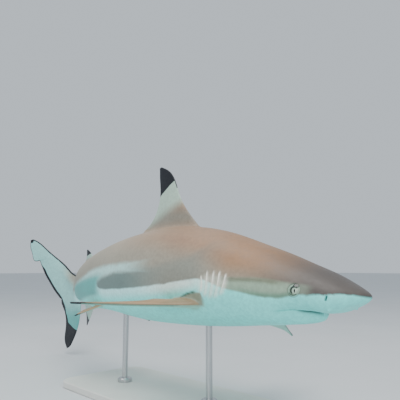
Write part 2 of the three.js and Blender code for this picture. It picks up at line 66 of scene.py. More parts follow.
# station, top, bottom, half width, height of the widest line
PROFILE = np.array([
    [0, -9, -9, 0, -9],
    [12.5, 0, -19.6, 21, -10.5],
    [31, 8, -28, 40, -12.5],
    [62, 22, -40, 52, -12],
    [100, 35, -55.5, 61.5, -10],
    [150, 52, -64, 69.5, -9.5],
    [200, 66.5, -71.5, 75.5, -10],
    [262, 83.5, -80.5, 79, -10],
    [375, 96, -91, 78.5, -7.5],
    [500, 87.5, -91, 68.5, -4],
    [625, 73, -74, 52, -0.5],
    [750, 57, -56, 35, 0],
    [850, 38, -36, 23, 0.5],
    [925, 28, -25, 16, 1],
    [1000, 50, 8, 10, 29],
    [1075, 87, 60, 6, 73],
    [1160, 132, 114, 2.5, 123],
])
UPPER_FULLNESS = 0.96
LOWER_FULLNESS = np.array([[0, 0.88], [62, 0.8], [125, 0.8], [262, 0.86], [437, 0.92], [750, 1]])
SNOUT_BOTTOM = np.array([
    [0, -9], [12.5, -19.6], [31, -28], [58, -36.6], [75, -35.7], [85, -35.9], [105, -38.8],
    [127, -50], [165, -58],
])
SNOUT_FULLNESS = np.array([
    [0, 0.88], [12.5, 0.86], [31, 0.8], [50, 0.8], [75, 0.9], [90, 0.72], [110, 0.62],
])
THROAT = (112, 165)  # where the snout's underside passes into the throat's

EYE = {"station": 87, "height": -5.2, "radius": 11, "sunk": 9}
EYE_OPENING = 5.7  # radius of the opening between the lids
NOSTRIL = {"top": (40.6, -10.6), "bottom": (42, -15.6)}
NASAL_FLAP = (43, 37, -27)
MOUTH = {"front": 72, "corner": 127, "side": 59, "power": 2.2}
CHIN = np.array([
    [72, -41], [73.5, -46], [78, -49.8], [84, -52.3], [92, -54.8], [102, -56.8], [120, -59.3],
    [165, -66.8],
])
JAW_FULLNESS = 3.4  # how square the lower jaw's underside is across
GILLS = [  # top and bottom end of each slit
    ((211, 12), (221, -22)), ((224, 15), (232, -27)), ((237, 15), (243, -29)),
    ((251, 14), (254, -28)), ((263, 6), (263, -22)),
]
GILL_LEAN = 3

EDGE = 0.35  # half the thickness of a fin's rear edge
FLARE_REACH = 0.09  # how far up a fin its root's flare reaches, as a share of its span
# Each fin's outline, as (station, height), or for a paired fin as (back, outwards) from its root,
# and its half thickness at the root and the tip.
DORSAL_1 = {
    "lead": [(332, 82), (356, 104), (385, 132), (409, 166), (421, 192), (440, 216), (466, 230)],
    "inner": [(486, 76), (524, 87)],
    "rear": [(524, 87), (491, 108), (471, 140), (466, 172), (470, 204), (472, 226)],
    "half": (6, 1.2), "flare": 9,
}
DORSAL_2 = {
    "lead": [(722, 50), (738, 64), (756, 78), (776, 89)],
    "inner": [(792, 42), (828, 48)],
    "rear": [(828, 48), (795, 60), (784, 72), (782, 86)],
    "half": (2.6, 0.8), "flare": 4,
}
ANAL = {
    "lead": [(712, -48), (734, -76), (762, -93), (796, -103)],
    "inner": [(790, -38), (836, -44)],
    "rear": [(836, -44), (808, -64), (802, -82), (802, -100)],
    "half": (2.8, 0.8), "flare": 4,
}
TAIL_UPPER = {
    "lead": [(929, -14), (924, 4), (930, 30), (1000, 60), (1050, 85), (1100, 110), (1150, 138),
             (1181, 156), (1202, 163)],
    "inner": [(1034, -54), (1062, -18), (1092, 5), (1115, 27), (1138, 51), (1158, 79), (1169, 97)],
    "rear": [(1169, 97), (1191, 95), (1202, 116), (1212, 136), (1214, 156)],
    "half": (9, 1.2), "flare": 3,
}
TAIL_LOWER = {
    "lead": [(928, 0), (934, -26), (945, -60), (962, -92), (982, -122), (1002, -149)],
    "inner": [(1062, -22), (1037, -55)],
    "rear": [(1037, -55), (1029, -80), (1029, -110), (1029, -138), (1019, -157)],
    "half": (8, 1.2), "flare": 3,
}
PECTORAL = {
    "lead": [(0, -14), (8, 14), (33, 62), (68, 112), (106, 154), (131, 183)],
    "inner": [(66, -14), (71, 12), (106, 41)],
    "rear": [(106, 41), (97, 68), (99, 106), (112, 146), (135, 181)],
    "half": (7.5, 1.2), "flare": 5,
}
PELVIC = {
    "lead": [(0, -8), (14, 22), (32, 46), (50, 58)],
    "inner": [(62, -8), (62, 2), (94, 22)],
    "rear": [(94, 22), (77, 40), (56, 58)],
    "half": (3.5, 0.9), "flare": 3,
}
UPRIGHT_FINS = [DORSAL_1, DORSAL_2, ANAL, TAIL_UPPER, TAIL_LOWER]
# Shape, side, root as (station, distance out, height), then sweep, rise and tilt in degrees.
PAIRED_FINS = [
    (PECTORAL, -1, (255, 64, -41), 7, -3, 1),
    (PECTORAL, 1, (255, 64, -41), -16, -16.3, -21.7),
    (PELVIC, -1, (600, 26, -62), 8.5, -25, -4),
    (PELVIC, 1, (600, 26, -62), -40, -26, 11),
]

# ---------- curves


def natural_spline(xs, ys):
    """Natural cubic spline through (xs, ys), as a function of an array of x."""
    xs, ys = np.asarray(xs, float), np.asarray(ys, float)
    width = np.diff(xs)
    slope = np.diff(ys) / width
    matrix, turn = np.eye(len(xs)), np.zeros(len(xs))
    for i in range(1, len(xs) - 1):
        matrix[i, i - 1:i + 2] = width[i - 1], 2 * (width[i - 1] + width[i]), width[i]
        turn[i] = 6 * (slope[i] - slope[i - 1])
    bend = np.linalg.solve(matrix, turn)

    def at(x):
        x = np.asarray(x, float)
        i = np.clip(np.searchsorted(xs, x) - 1, 0, len(xs) - 2)
        b = (x - xs[i]) / width[i]
        a = 1 - b
        cubic = (a ** 3 - a) * bend[i] + (b ** 3 - b) * bend[i + 1]
        return a * ys[i] + b * ys[i + 1] + cubic * width[i] ** 2 / 6

    return at


def legs_curve(*legs):
    """A plane curve over 0..1, of one or more splined legs with a corner between them, and where
    on it the first leg ends."""
    pieces = []
    for points in legs:
        points = np.array(points, float)
        along = np.concatenate([[0], np.cumsum(np.hypot(*np.diff(points, axis=0).T))])
        pieces.append((along[-1], *(natural_spline(along, points[:, axis]) for axis in (0, 1))))
    total = sum(length for length, _, _ in pieces)

    def at(t):
        distance = t * total
        i = 0
        while i < len(pieces) - 1 and distance > pieces[i][0]:
            distance -= pieces[i][0]
            i += 1
        return np.array([coordinate(distance) for coordinate in pieces[i][1:]])

    return at, pieces[0][0] / total


def value_on(line, station):
    """What a line of (station, value) rows gives at each station."""
    return np.interp(station, *line.T)


def ease(x, low, high):
    """A smooth step, from 0 at low to 1 at high."""
    t = np.clip((np.asarray(x, float) - low) / (high - low), 0, 1)
    return t * t * (3 - 2 * t)


def window(x, rise, fall):
    """1 between two smooth steps, each given as (low, high), and 0 outside them."""
    return ease(x, *rise) * (1 - ease(x, *fall))


def bell(x, width):
    return np.exp(-(np.asarray(x, float) / width) ** 2)


def from_segment(first, second, start, end):
    """Distance from points of a plane to a segment, and where its nearest place is along the first
    axis."""
    (x0, y0), (x1, y1) = start, end
    reach_x, reach_y = x1 - x0, y1 - y0
    share = (first - x0) * reach_x + (second - y0) * reach_y
    share = np.clip(share / max(reach_x ** 2 + reach_y ** 2, 1e-9), 0, 1)
    foot = x0 + share * reach_x
    return np.hypot(first - foot, second - y0 - share * reach_y), foot


def search_tree(points):
    tree = KDTree(len(points))
    for i, point in enumerate(points):
        tree.insert(point, i)
    tree.balance()
    return tree


# ---------- the spine and the body surface

heading_at = natural_spline(BEND_STATIONS, BEND_HEADING)
pitch_at = natural_spline(BEND_STATIONS, BEND_PITCH)
twist_at = natural_spline(TWIST_STATIONS, TWIST)


def axes_at(station):
    """Unit vectors ahead, left and up at each station."""
    heading, pitch, twist = (np.radians(f(station)) for f in (heading_at, pitch_at, twist_at))
    level = np.cos(pitch)
    ahead = np.stack([np.cos(heading) * level, np.sin(heading) * level, np.sin(pitch)], -1)
    left = np.stack([-np.sin(heading), np.cos(heading), np.zeros_like(heading)], -1)
    left = left * np.cos(twist)[..., None] + np.cross(ahead, left) * np.sin(twist)[..., None]
    return ahead, left, np.cross(ahead, left)


def trace_spine():
    """The spine's points every SPINE_STEP, found by stepping back along its heading."""
    count = math.ceil(TOTAL_LENGTH / SPINE_STEP)
    ahead = axes_at((np.arange(count) + 0.5) * SPINE_STEP)[0]
    points = np.vstack([np.zeros(3), np.cumsum(-ahead * SPINE_STEP, axis=0)])
    anchor = points[int(ANCHOR_STATION / SPINE_STEP)] - [0, 0, SPINE_HEIGHT]
    return points - anchor


SPINE = trace_spine()
FOOT_STEPS = 6  # steps of Newton's method towards the foot on the spine


def spine_at(station):
    step = np.clip(np.asarray(station, float) / SPINE_STEP, 0, len(SPINE) - 1.001)
    i = step.astype(int)
    share = (step - i)[..., None]
    return SPINE[i] * (1 - share) + SPINE[i + 1] * share


def place(station, side, height):
    """The points of the model's frame at (station, side, height), in mm."""
    _, left, up = axes_at(station)
    side, height = (np.asarray(each, float)[..., None] for each in (side, height))
    return spine_at(station) + left * side + up * height


def unplace(points):
    """The (station, side, height) of each point, from its foot on the spine."""
    tree = search_tree(SPINE)
    station = np.array([tree.find(point)[1] for point in points]) * SPINE_STEP
    for _ in range(FOOT_STEPS):
        ahead = axes_at(station)[0]
        change = axes_at(station + 1)[0] - ahead
        offset = points - spine_at(station)
        slope = 1 + np.sum(offset * change, axis=1)
        step = np.sum(offset * ahead, axis=1) / slope
        station = np.clip(station - step, 0, TOTAL_LENGTH - 1)
    _, left, up = axes_at(station)
    offset = points - spine_at(station)
    return station, np.sum(offset * left, axis=1), np.sum(offset * up, axis=1)


def warp(station):
    """The profile is splined over the root of the station, which rounds the snout."""
    return np.sqrt(np.maximum(station, 0) / TOTAL_LENGTH)


def warped_spline(rows, column=1):
    spline = natural_spline(warp(rows[:, 0]), rows[:, column])
    return lambda station: spline(warp(station))


top_at, bottom_at, half_width_at, belt_at = (warped_spline(PROFILE, n) for n in (1, 2, 3, 4))
snout_spline = warped_spline(SNOUT_BOTTOM)
RING_EVENNESS = 0.92  # power that spaces a ring's points evenly


def snout_bottom_at(station):
    return snout_spline(np.minimum(station, THROAT[1]))


def bowl(belt, reach, power, share):
    """Height of a superelliptic upper or lower side at a share of the half width."""
    return belt + reach * (1 - share ** (2 / power)) ** (power / 2)


def mouth_station(share):
    """Station of the mouth's line at a share of its half width."""
    return MOUTH["front"] + (MOUTH["corner"] - MOUTH["front"]) * share ** MOUTH["power"]


def underside_at(station, side):
    """Height of the body's underside: the snout and jaw, then the throat."""
    belt = belt_at(station)
    share = np.clip(np.abs(side) / np.maximum(half_width_at(station), 1e-6), 0, 1)
    throat = bowl(belt, bottom_at(station) - belt, value_on(LOWER_FULLNESS, station), share)
    bottom = snout_bottom_at(station)
    snout = bowl(belt, bottom - belt, value_on(SNOUT_FULLNESS, station), share)
    back = np.maximum(station - MOUTH["front"], 1e-6) / (MOUTH["corner"] - MOUTH["front"])
    across = np.clip(np.abs(side) / (MOUTH["side"] * back ** (1 / MOUTH["power"])), 0, 1)
    jaw = (value_on(CHIN, station) - bottom) * (1 - across ** JAW_FULLNESS)
    snout += np.where(station > MOUTH["front"], jaw, 0)
    return snout + (throat - snout) * ease(station, *THROAT)


def ring_point(station, angle):
    """Side and height of the body surface, at an angle from the left round by the top."""
    cos, sin = np.cos(angle), np.sin(angle)
    belt = belt_at(station)
    across = np.sign(cos) * np.abs(cos) ** RING_EVENNESS
    side = half_width_at(station) * across
    over = bowl(belt, top_at(station) - belt, UPPER_FULLNESS, np.abs(across))
    return side, np.where(sin >= 0, over, underside_at(station, side))


def width_at(station, height):
    """Half width of the body surface at a station and height, apart from the jaw."""
    belt = belt_at(station)
    above, on_snout = height >= belt, station < THROAT[0]
    on_throat = value_on(LOWER_FULLNESS, station)
    power = np.where(on_snout, value_on(SNOUT_FULLNESS, station), on_throat)
    power = np.where(above, UPPER_FULLNESS, power)
    bottom = np.where(on_snout, snout_bottom_at(station), bottom_at(station))
    reach = np.where(above, top_at(station), bottom) - belt
    share = np.clip((height - belt) / reach, 0, 1) ** (2 / power)
    return half_width_at(station) * (1 - share) ** (power / 2)


# ---------- relief on the head and trunk

# A groove or swelling along a line or round a place, in mm: how far it stands out, its distance
# from there and its width.
MOUTH_GROOVE = (-2.8, 0, 1.2)
UPPER_LIP = (0.4, 3.2, 2.4)
NOSTRIL_SLIT = (-3.0, 0, 1.1)
NOSTRIL_RIM = (0.7, 2.2, 1.1)
NASAL_LOBE = (4.2, 0, 3.0)
TAIL_PIT = (-2.6, 0, 4.5)
# The same, measured out from the edge of the opening between the lids.
EYELID = (0.95, 0, 2.7)
EYE_CREASE = (-0.6, 3.6, 0.8)
EYE_SWELLING = (0.4, 6, 2.6)
EYE_DIP = 5.5
GILL_FLAP_RISE = 1.1
GILL_SLIT_DEPTH = 2.1
JAW_SET_BACK = 0.6
FLAP_SUNK = 3  # how far the nasal flap's middle lies in from the CAD's
TAIL_PIT_STATION = 917


def ridge(distance, shape):
    rise, at, width = shape
    return rise * bell(distance - at, width)


MOUTH_ACROSS = np.linspace(-1, 1, 161)  # shares of the mouth's half width, corner to corner
MOUTH_SIDE, MOUTH_STATION = MOUTH_ACROSS * MOUTH["side"], mouth_station(np.abs(MOUTH_ACROSS))
MOUTH_LINE = np.stack([MOUTH_STATION, MOUTH_SIDE, underside_at(MOUTH_STATION, MOUTH_SIDE)], 1)


def mouth_at(station, side, height):
    """Distance to the mouth's line, its strength there, and how far behind the line a point of the
    lower jaw is."""
    near = (station > 50) & (station < 150) & (height < -15)
    distance, strength = np.full(station.shape, 99.0), np.zeros(station.shape)
    points = np.stack([station, side, height], 1)[near]
    distances = np.stack([np.linalg.norm(points - row, axis=1) for row in MOUTH_LINE])
    distance[near] = distances.min(axis=0)
    strength[near] = 1 - ease(np.abs(MOUTH_ACROSS[distances.argmin(axis=0)]), 0.9, 1)
    inside = station - mouth_station(np.clip(np.abs(side) / MOUTH["side"], 0, 1))
    return distance, strength, np.where(near & (np.abs(side) < MOUTH["side"] + 3), inside, -99.0)


def gill_at(slit, station, side, height):
    """How far behind a gill slit's line each point is, and the slit's strength at its height."""
    (top_station, top), (bottom_station, bottom) = slit
    t = (height - top) / (bottom - top)
    line = top_station + (bottom_station - top_station) * t - GILL_LEAN * 4 * t * (1 - t)
    return station - line, window(t, (-0.08, 0.12), (0.8, 1.08)) * (np.abs(side) > 20)


def nostril_at(station, side, height):
    """Distance to the nostril's slit, and how far behind it each point is."""
    distance, slit = from_segment(station, height, NOSTRIL["top"], NOSTRIL["bottom"])
    return np.where(np.abs(side) > 12, distance, 99), station - slit


def eye_distance(station, side, height):
    """Distance from an eye's axis, seen square on to the skin, which slants forward there."""
    slant = math.hypot(1, (width_at(100, -8) - width_at(72, -8)) / 28)
    distance = np.hypot((station - EYE["station"]) * slant, height - EYE["height"])
    return np.where(np.abs(side) > 30, distance, 99)


def relief(station, side, height):
    """How far the skin stands out from the plain body surface."""
    # mouth: a groove under a slightly swollen upper lip, with the lower jaw set back
    distance, strength, inside = mouth_at(station, side, height)
    out = ridge(distance, MOUTH_GROOVE) * strength
    out += ridge(distance, UPPER_LIP) * strength * (inside <= 0)
    out -= JAW_SET_BACK * np.exp(-distance / 4) * strength * (inside > 0)
    # gill slits: each flap rises to its rear edge, then drops to the slit
    for slit in GILLS:
        behind, strength = gill_at(slit, station, side, height)
        flap = GILL_FLAP_RISE * window(behind, (-8, -0.6), (-0.6, 0.3))
        drop = GILL_SLIT_DEPTH * window(behind, (-0.6, 0.5), (0.9, 3.4))
        out += (flap - drop) * strength
    # nostril: a slit with a raised front rim, and the nipple-like flap below it
    distance, behind = nostril_at(station, side, height)
    out += ridge(distance, NOSTRIL_SLIT) + ridge(distance, NOSTRIL_RIM) * (behind < 0)
    flap_station, flap_side, flap_height = NASAL_FLAP
    from_flap = np.stack([station - flap_station, np.abs(side) - flap_side + FLAP_SUNK,
                          height - flap_height])
    out += ridge(np.linalg.norm(from_flap, axis=0), NASAL_LOBE)
    # eye: the skin dips under the eyeball, with a rolled lid and a crease round it
    from_lid = eye_distance(station, side, height) - EYE_OPENING
    out -= EYE_DIP * (1 - ease(from_lid, -1.1, 0))
    out += ease(from_lid, -1, 0.2) * ridge(from_lid, EYELID)
    out += ridge(from_lid, EYE_CREASE) + ridge(from_lid, EYE_SWELLING)
    # the small pit on top of the tail stalk, just ahead of the tail fin
    out += ridge(station - TAIL_PIT_STATION, TAIL_PIT) * (height > 0) * bell(side, 9)
    return out


# ---------- the body's mesh

CORE_END = 1185
CORE_THIN_FROM = 1100
COLUMNS = 76
ANGLE_SCALE = 60  # flat millimetres for a radian, while the body is still a flat sheet
FAR = 9999
ANY = (-FAR, FAR)
# How many times the body's faces are halved, in a range of stations, heights and distances from
# the middle.
FINE_BOXES = [
    (1, (-1, 285), ANY, ANY),
    (1, (300, 545), (0, FAR), (-1, 26)),
    (1, (700, 850), ANY, (-1, 14)),
    (1, (235, 355), (-75, 0), (30, FAR)),
    (1, (580, 700), (-FAR, -25), ANY),
    (2, (203, 272), (-34, 20), (30, FAR)),
    (3, (34, 52), (-36, -4), (14, FAR)),
    (3, (71, 76), (-FAR, -36), (-1, 26)),
    (2, (71, 84), (-FAR, -36), (-1, 30)),
]


def base_stations():
    """Stations of the body's rings: close together at the snout."""
    stations = [0, 0.15, 0.5, 1.1, 2, 3.2, 4.8, 6.8, 9.2, 12]
    while stations[-1] < 290:
        stations.append(stations[-1] + 4.4)
    while stations[-1] < CORE_END:
        stations.append(stations[-1] + 7)
    stations[-1] = CORE_END
    return stations


def fine_zones(station, angle):
    """How many times the faces at each place are halved: more round the face's features and the
    fins' roots."""
    side, height = ring_point(station, angle)
    level = np.zeros(station.shape, int)

    def raise_to(wanted, where):
        level[where] = np.maximum(level[where], wanted)

    for times, *ranges in FINE_BOXES:
        inside = np.ones(station.shape, bool)
        for value, (low, high) in zip((station, height, np.abs(side)), ranges):
            inside &= (value > low) & (value < high)
        raise_to(times, inside)
    from_mouth, _, _ = mouth_at(station, side, height)
    raise_to(2, from_mouth < 8)
    raise_to(3, from_mouth < 4)
    from_eye = eye_distance(station, side, height)
    raise_to(3, from_eye < 11)
    raise_to(4, (from_eye > 4.4) & (from_eye < 6.9))
    return level


def body_sheet():
    """The body as a flat sheet of (station, angle), halved where it needs detail."""
    mesh = bmesh.new()
    start, turn = -math.pi / 2, 2 * math.pi / COLUMNS
    angles = [(start + k * turn) * ANGLE_SCALE for k in range(COLUMNS + 1)]
    rows = [[mesh.verts.new((s, angle, 0)) for angle in angles] for s in base_stations()]
    for near, far in zip(rows, rows[1:]):
        for k in range(COLUMNS):
            mesh.faces.new((near[k], near[k + 1], far[k + 1], far[k]))
    for level in range(1, 5):
        centres = np.array([face.calc_center_median() for face in mesh.faces])
        wanted = fine_zones(centres[:, 0], centres[:, 1] / ANGLE_SCALE) >= level
        edges = {edge for face, fine in zip(mesh.faces, wanted) if fine for edge in face.edges}
        bmesh.ops.subdivide_edges(mesh, edges=list(edges), cuts=1, use_grid_fill=True)
    return mesh


def body_object():
    mesh = body_sheet()
    flat = np.array([v.co for v in mesh.verts])
    station, angle = flat[:, 0], flat[:, 1] / ANGLE_SCALE
    side, height = ring_point(station, angle)
    across, up = np.subtract(ring_point(station, angle + 0.01), ring_point(station, angle - 0.01))
    normal = np.stack([up, -across], 1)
    normal /= np.maximum(np.linalg.norm(normal, axis=1), 1e-9)[:, None]
    out = relief(station, side, height)
    # the core thins away inside the tail fin's upper lobe
    left = np.clip((CORE_END - station) / (CORE_END - CORE_THIN_FROM), 0, 1)
    thin = np.where(station > CORE_THIN_FROM, 0.2 + 0.8 * np.sqrt(left), 1)
    points = place(station, side * thin + normal[:, 0] * out, height + normal[:, 1] * out)
    for vert, point in zip(mesh.verts, points):
        vert.co = point * MM
    bmesh.ops.remove_doubles(mesh, verts=mesh.verts, dist=0.00002)
    bmesh.ops.dissolve_degenerate(mesh, edges=mesh.edges, dist=0.00001)
    close_holes(mesh)
    return finish_mesh("shark_skin", mesh)


def close_holes(mesh):
    bmesh.ops.holes_fill(mesh, edges=[e for e in mesh.edges if e.is_boundary], sides=0)
    bmesh.ops.triangulate(mesh, faces=mesh.faces)


def finish_mesh(name, mesh):
    """An object from a closed bmesh, its faces triangulated and turned outwards."""
    bmesh.ops.triangulate(mesh, faces=mesh.faces)
    bmesh.ops.recalc_face_normals(mesh, faces=mesh.faces)
    data = bpy.data.meshes.new(name)
    mesh.to_mesh(data)
    mesh.free()
    made = bpy.data.objects.new(name, data)
    bpy.context.scene.collection.objects.link(made)
    return made


# ---------- the fins' meshes

FIN_ROW_STEP = 2.6
FIN_CHORD_COUNT = 22
REAR_ROUND = 0.015  # share of the chord over which a fin's rear rim is rounded off


def turned(angle, first, second):
    """The matrix of a turn by an angle in degrees, from one axis towards another."""
    matrix = np.eye(3)
    matrix[first, first] = matrix[second, second] = math.cos(math.radians(angle))
    matrix[second, first] = math.sin(math.radians(angle))
    matrix[first, second] = -matrix[second, first]
    return matrix


def paired_frame(fin):
    """Origin and axes (back along the root, outwards, thickness) of a paired fin's flat blade."""
    _, sign, (station, out, height), sweep, rise, tilt = fin
    ahead, left, up = axes_at(station + 30)
    basis = np.stack([-ahead, left * sign, up], 1)
    turns = turned(tilt, 0, 2) @ turned(rise, 1, 2) @ turned(sweep, 1, 0)
    return place(station, sign * out, height), basis @ turns


def fin_rows(shape):
    """Front and back point of each row of a fin's sections, with its half thickness."""
    lead, _ = legs_curve(shape["lead"])
    trail, corner = legs_curve(shape["inner"], shape["rear"])
    span = np.hypot(*(np.array(shape["lead"][-1]) - shape["lead"][0]))
    count = max(int(span / FIN_ROW_STEP), 12)
    inner_count = max(int(count * corner), 6)
    steps = list(np.linspace(0, corner, inner_count, endpoint=False))
    steps += list(corner + (1 - corner) * np.sin(np.linspace(0, 1, count) * math.pi / 2) ** 1.15)
    root_half, tip_half = shape["half"]
    rows = []
    for t in steps:
        taper = root_half + (tip_half - root_half) * t ** 0.8
        rows.append((lead(t), trail(t), taper + shape["flare"] * math.exp(-t / FLARE_REACH)))
    # the tip is rounded off by three shrinking sections
    front, back, half = rows[-1]
    outwards = front - rows[-3][0]
    outwards /= np.hypot(*outwards)
    chord = np.hypot(*(back - front))
    for share in (0.5, 0.8, 0.95):
        shrink = math.sqrt(1 - share ** 2)
        middle = (front + back) / 2 + outwards * chord * 0.3 * share
        reach = (front - back) / 2 * shrink
        rows.append((middle + reach, middle - reach, half * shrink))
    return rows


def fin_object(name, shape, to_place):
    """A fin: rounded-nose sections from its root to its tip, put in place by a mapping."""
    share = ((1 - np.cos(np.linspace(0, math.pi, FIN_CHORD_COUNT))) / 2) ** 1.25
    swell = 2.6 * np.sqrt(share) * (1 - share)
    rear = np.where(share > 1 - REAR_ROUND, np.sqrt(np.clip(1 - share, 0, 1) / REAR_ROUND), 1)
    rim = EDGE * ease(share, 0, 0.03) * rear
    chain = np.concatenate([share, share[-2:0:-1]])[:, None]
    mesh = bmesh.new()
    rings = []
    for front, back, half in fin_rows(shape):
        offset = rim + half * swell
        offsets = np.concatenate([offset, -offset[-2:0:-1]])
        first, second = (front * (1 - chain) + back * chain).T
        rings.append([mesh.verts.new(p * MM) for p in to_place(first, second, offsets)])
    for low, high in zip(rings, rings[1:]):
        for k in range(len(low)):
            on = (k + 1) % len(low)
            mesh.faces.new((low[k], low[on], high[on], high[k]))
    mesh.faces.new(rings[0])
    mesh.faces.new(rings[-1])
    return finish_mesh(name, mesh)


def upright(station, height, offset):
    return place(station, offset, height)


def paired_mapping(fin):
    origin, axes = paired_frame(fin)
    return lambda back, outward, offset: origin + np.stack([back, outward, offset], 1) @ axes.T


def all_fins():
    blades = [(shape, upright) for shape in UPRIGHT_FINS]
    blades += [(fin[0], paired_mapping(fin)) for fin in PAIRED_FINS]
    return [fin_object(f"fin_{i}", *blade) for i, blade in enumerate(blades)]


# ---------- joining body and fins

SEAM_REACH = 2.5
SEAM_MERGE = 0.3
FILLET_REACH = 7.0  # how far from the seam its crease is smoothed away
FILLET_ROUNDS = 14


def clean_seam(mesh, tree):
    """Merges the slivers along the seam and evens the triangles round it."""
    near = [v for v in mesh.verts if tree.find(v.co)[2] < SEAM_REACH * MM]
    bmesh.ops.remove_doubles(mesh, verts=near, dist=SEAM_MERGE * MM)
    bmesh.ops.dissolve_degenerate(mesh, edges=mesh.edges, dist=0.02 * MM)
    close_holes(mesh)
    near = (v for v in mesh.verts if tree.find(v.co)[2] < FILLET_REACH * MM)
    zone = {f for v in near for f in v.link_faces}
    edges = {e for f in zone for e in f.edges}
    bmesh.ops.beautify_fill(mesh, faces=list(zone), edges=list(edges))


def soften_seam(data, tree):
    """Moves the points near the seam towards their neighbours' mean, most at the seam itself."""
    points = np.array([v.co for v in data.vertices])
    starts, ends = np.array([e.vertices[:] for e in data.edges]).T
    weight = np.array([1 - min(tree.find(p)[2] / (FILLET_REACH * MM), 1) for p in points])
    soft = np.nonzero(weight > 0)[0]
    size = len(points)
    counts = np.maximum(np.bincount(np.concatenate([starts, ends]), minlength=size), 1)
    for _ in range(FILLET_ROUNDS):
        total = np.stack([np.bincount(starts, points[ends, axis], size)
                          + np.bincount(ends, points[starts, axis], size) for axis in range(3)], 1)
        mean = total / counts[:, None]
        points[soft] += (mean - points)[soft] * (0.6 * np.sqrt(weight[soft]))[:, None]
    data.vertices.foreach_set("co", points.ravel())
    data.update()


def join_fins(body, fins):
    """One closed skin from the body and its fins, its creases at the fins' roots smoothed away."""
    kept = {tuple(np.round(v.co, 7)) for o in (body, *fins) for v in o.data.vertices}
    for fin in fins:
        union = body.modifiers.new("union", "BOOLEAN")
        union.operation, union.solver, union.object = "UNION", "MANIFOLD", fin
    joined = body.evaluated_get(bpy.context.evaluated_depsgraph_get())
    merged = bpy.data.meshes.new_from_object(joined)
    body.modifiers.clear()
    body.data = merged
    for fin in fins:
        bpy.data.objects.remove(fin)
    mesh = bmesh.new()
    mesh.from_mesh(merged)
    tree = search_tree([v.co.copy() for v in mesh.verts if tuple(np.round(v.co, 7)) not in kept])
    clean_seam(mesh, tree)
    mesh.to_mesh(merged)
    mesh.free()
    soften_seam(merged, tree)
    merged.shade_smooth()
    return body


skin = join_fins(body_object(), all_fins())
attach(skin, "root")
FLESH = [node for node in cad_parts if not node.startswith(("stand_", "eye_"))]
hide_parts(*FLESH)

# ---------- where the markings are, mm

# Lines along the body, as (station, height).
PIGMENT_LOW = np.array([
    (0, -10), (7, -9), (15, -7), (24, -6.5), (34, -7.5), (46, -8.5), (60, -9), (74, -10), (86, -12),
    (97, -15), (108, -17.5), (124, -18), (145, -18), (159, -16.5), (178, -14), (197, -12),
    (213, -10), (235, -5), (255, 0), (274, 1), (310, -5.5), (349, -13), (392, -20.5), (440, -27.5),
    (496, -33), (563, -34.5), (590, -31), (602, -26),
])
BAND_TOP = np.array([
    (262, 60), (300, 34), (342, 23), (395, 10), (442, 5), (477, 2.5), (516, 0), (546, -3),
    (574, -7), (600, -16),
])
STRIPE_TOP = np.array([
    (262, 62), (300, 42), (342, 32), (400, 24), (431, 21), (464, 19), (501, 17), (542, 15.5),
    (589, 14.5), (633, 12.5), (658, 9.5), (685, 5), (742, 1), (800, -2), (925, 2),
])
BACK_LINE = np.array([
    (0, -9), (110, -16), (210, -8), (300, 16), (400, 27), (504, 24), (636, 17), (742, 4), (925, 2),
])
HEAD_STREAK = np.array([
    (44, -1), (62, 0.5), (74, 1.5), (101, 3), (118, 4.5), (135, 6), (157, 6.5), (179, 5.5),
    (209, 4.5), (236, 3.5),
])
PECTORAL_FOLD = np.array([(255, -30), (261, -21), (277, -21.5), (292, -26), (308, -33)])
BAND_END = 603
STRIPE_FADE = (385, 520)  # the stations over which the pale stripe comes to part band and back

# The black of a fin lies to the left of a line through two places.
DORSAL_1_BLACK = ((417, 198), (463, 166))
ANAL_BLACK = ((793, -65), (757, -94))
TAIL_BLACK = ((1029, -77), (968, -108))
TAIL_TIP_BLACK = (1209, 160, 9)  # station, height and radius of the upper lobe's black tip
# Where a paired fin's black tip and rim start, and the rim's width on its underside.
PECTORAL_BLACK = (170, 150, 0.7)
PELVIC_BLACK = (54, 46, 2.4)


def outline_distance(shape, first, second, which):
    """Distance from points to a fin's leading or rear edge, in the plane of the fin."""
    legs = [shape["lead"]] if which == "lead" else [shape["inner"], shape["rear"]]
    curve, _ = legs_curve(*legs)
    line = [curve(t) for t in np.linspace(0, 1, 90)]
    sides = zip(line, line[1:])
    return np.min([from_segment(first, second, *ends)[0] for ends in sides], axis=0)


def past_line(first, second, start, end):
    """Signed distance to a line through two points, positive on its left."""
    (x0, y0), (x1, y1) = start, end
    length = math.hypot(x1 - x0, y1 - y0)
    return ((x1 - x0) * (second - y0) - (y1 - y0) * (first - x0)) / length


def in_blade(shape, first, second):
    """Whether points of the fin's plane lie in the box round its outline, or just outside it."""
    corners = np.array(shape["lead"] + shape["inner"] + shape["rear"], float)
    low, high = corners.min(0) - 4, corners.max(0) + 4
    return (first > low[0]) & (first < high[0]) & (second > low[1]) & (second < high[1])


def paint(marks, name, value, where=True):
    """Raises a marking to a value, in the places named."""
    marks[name] = np.where(where, np.maximum(marks[name], value), marks[name])


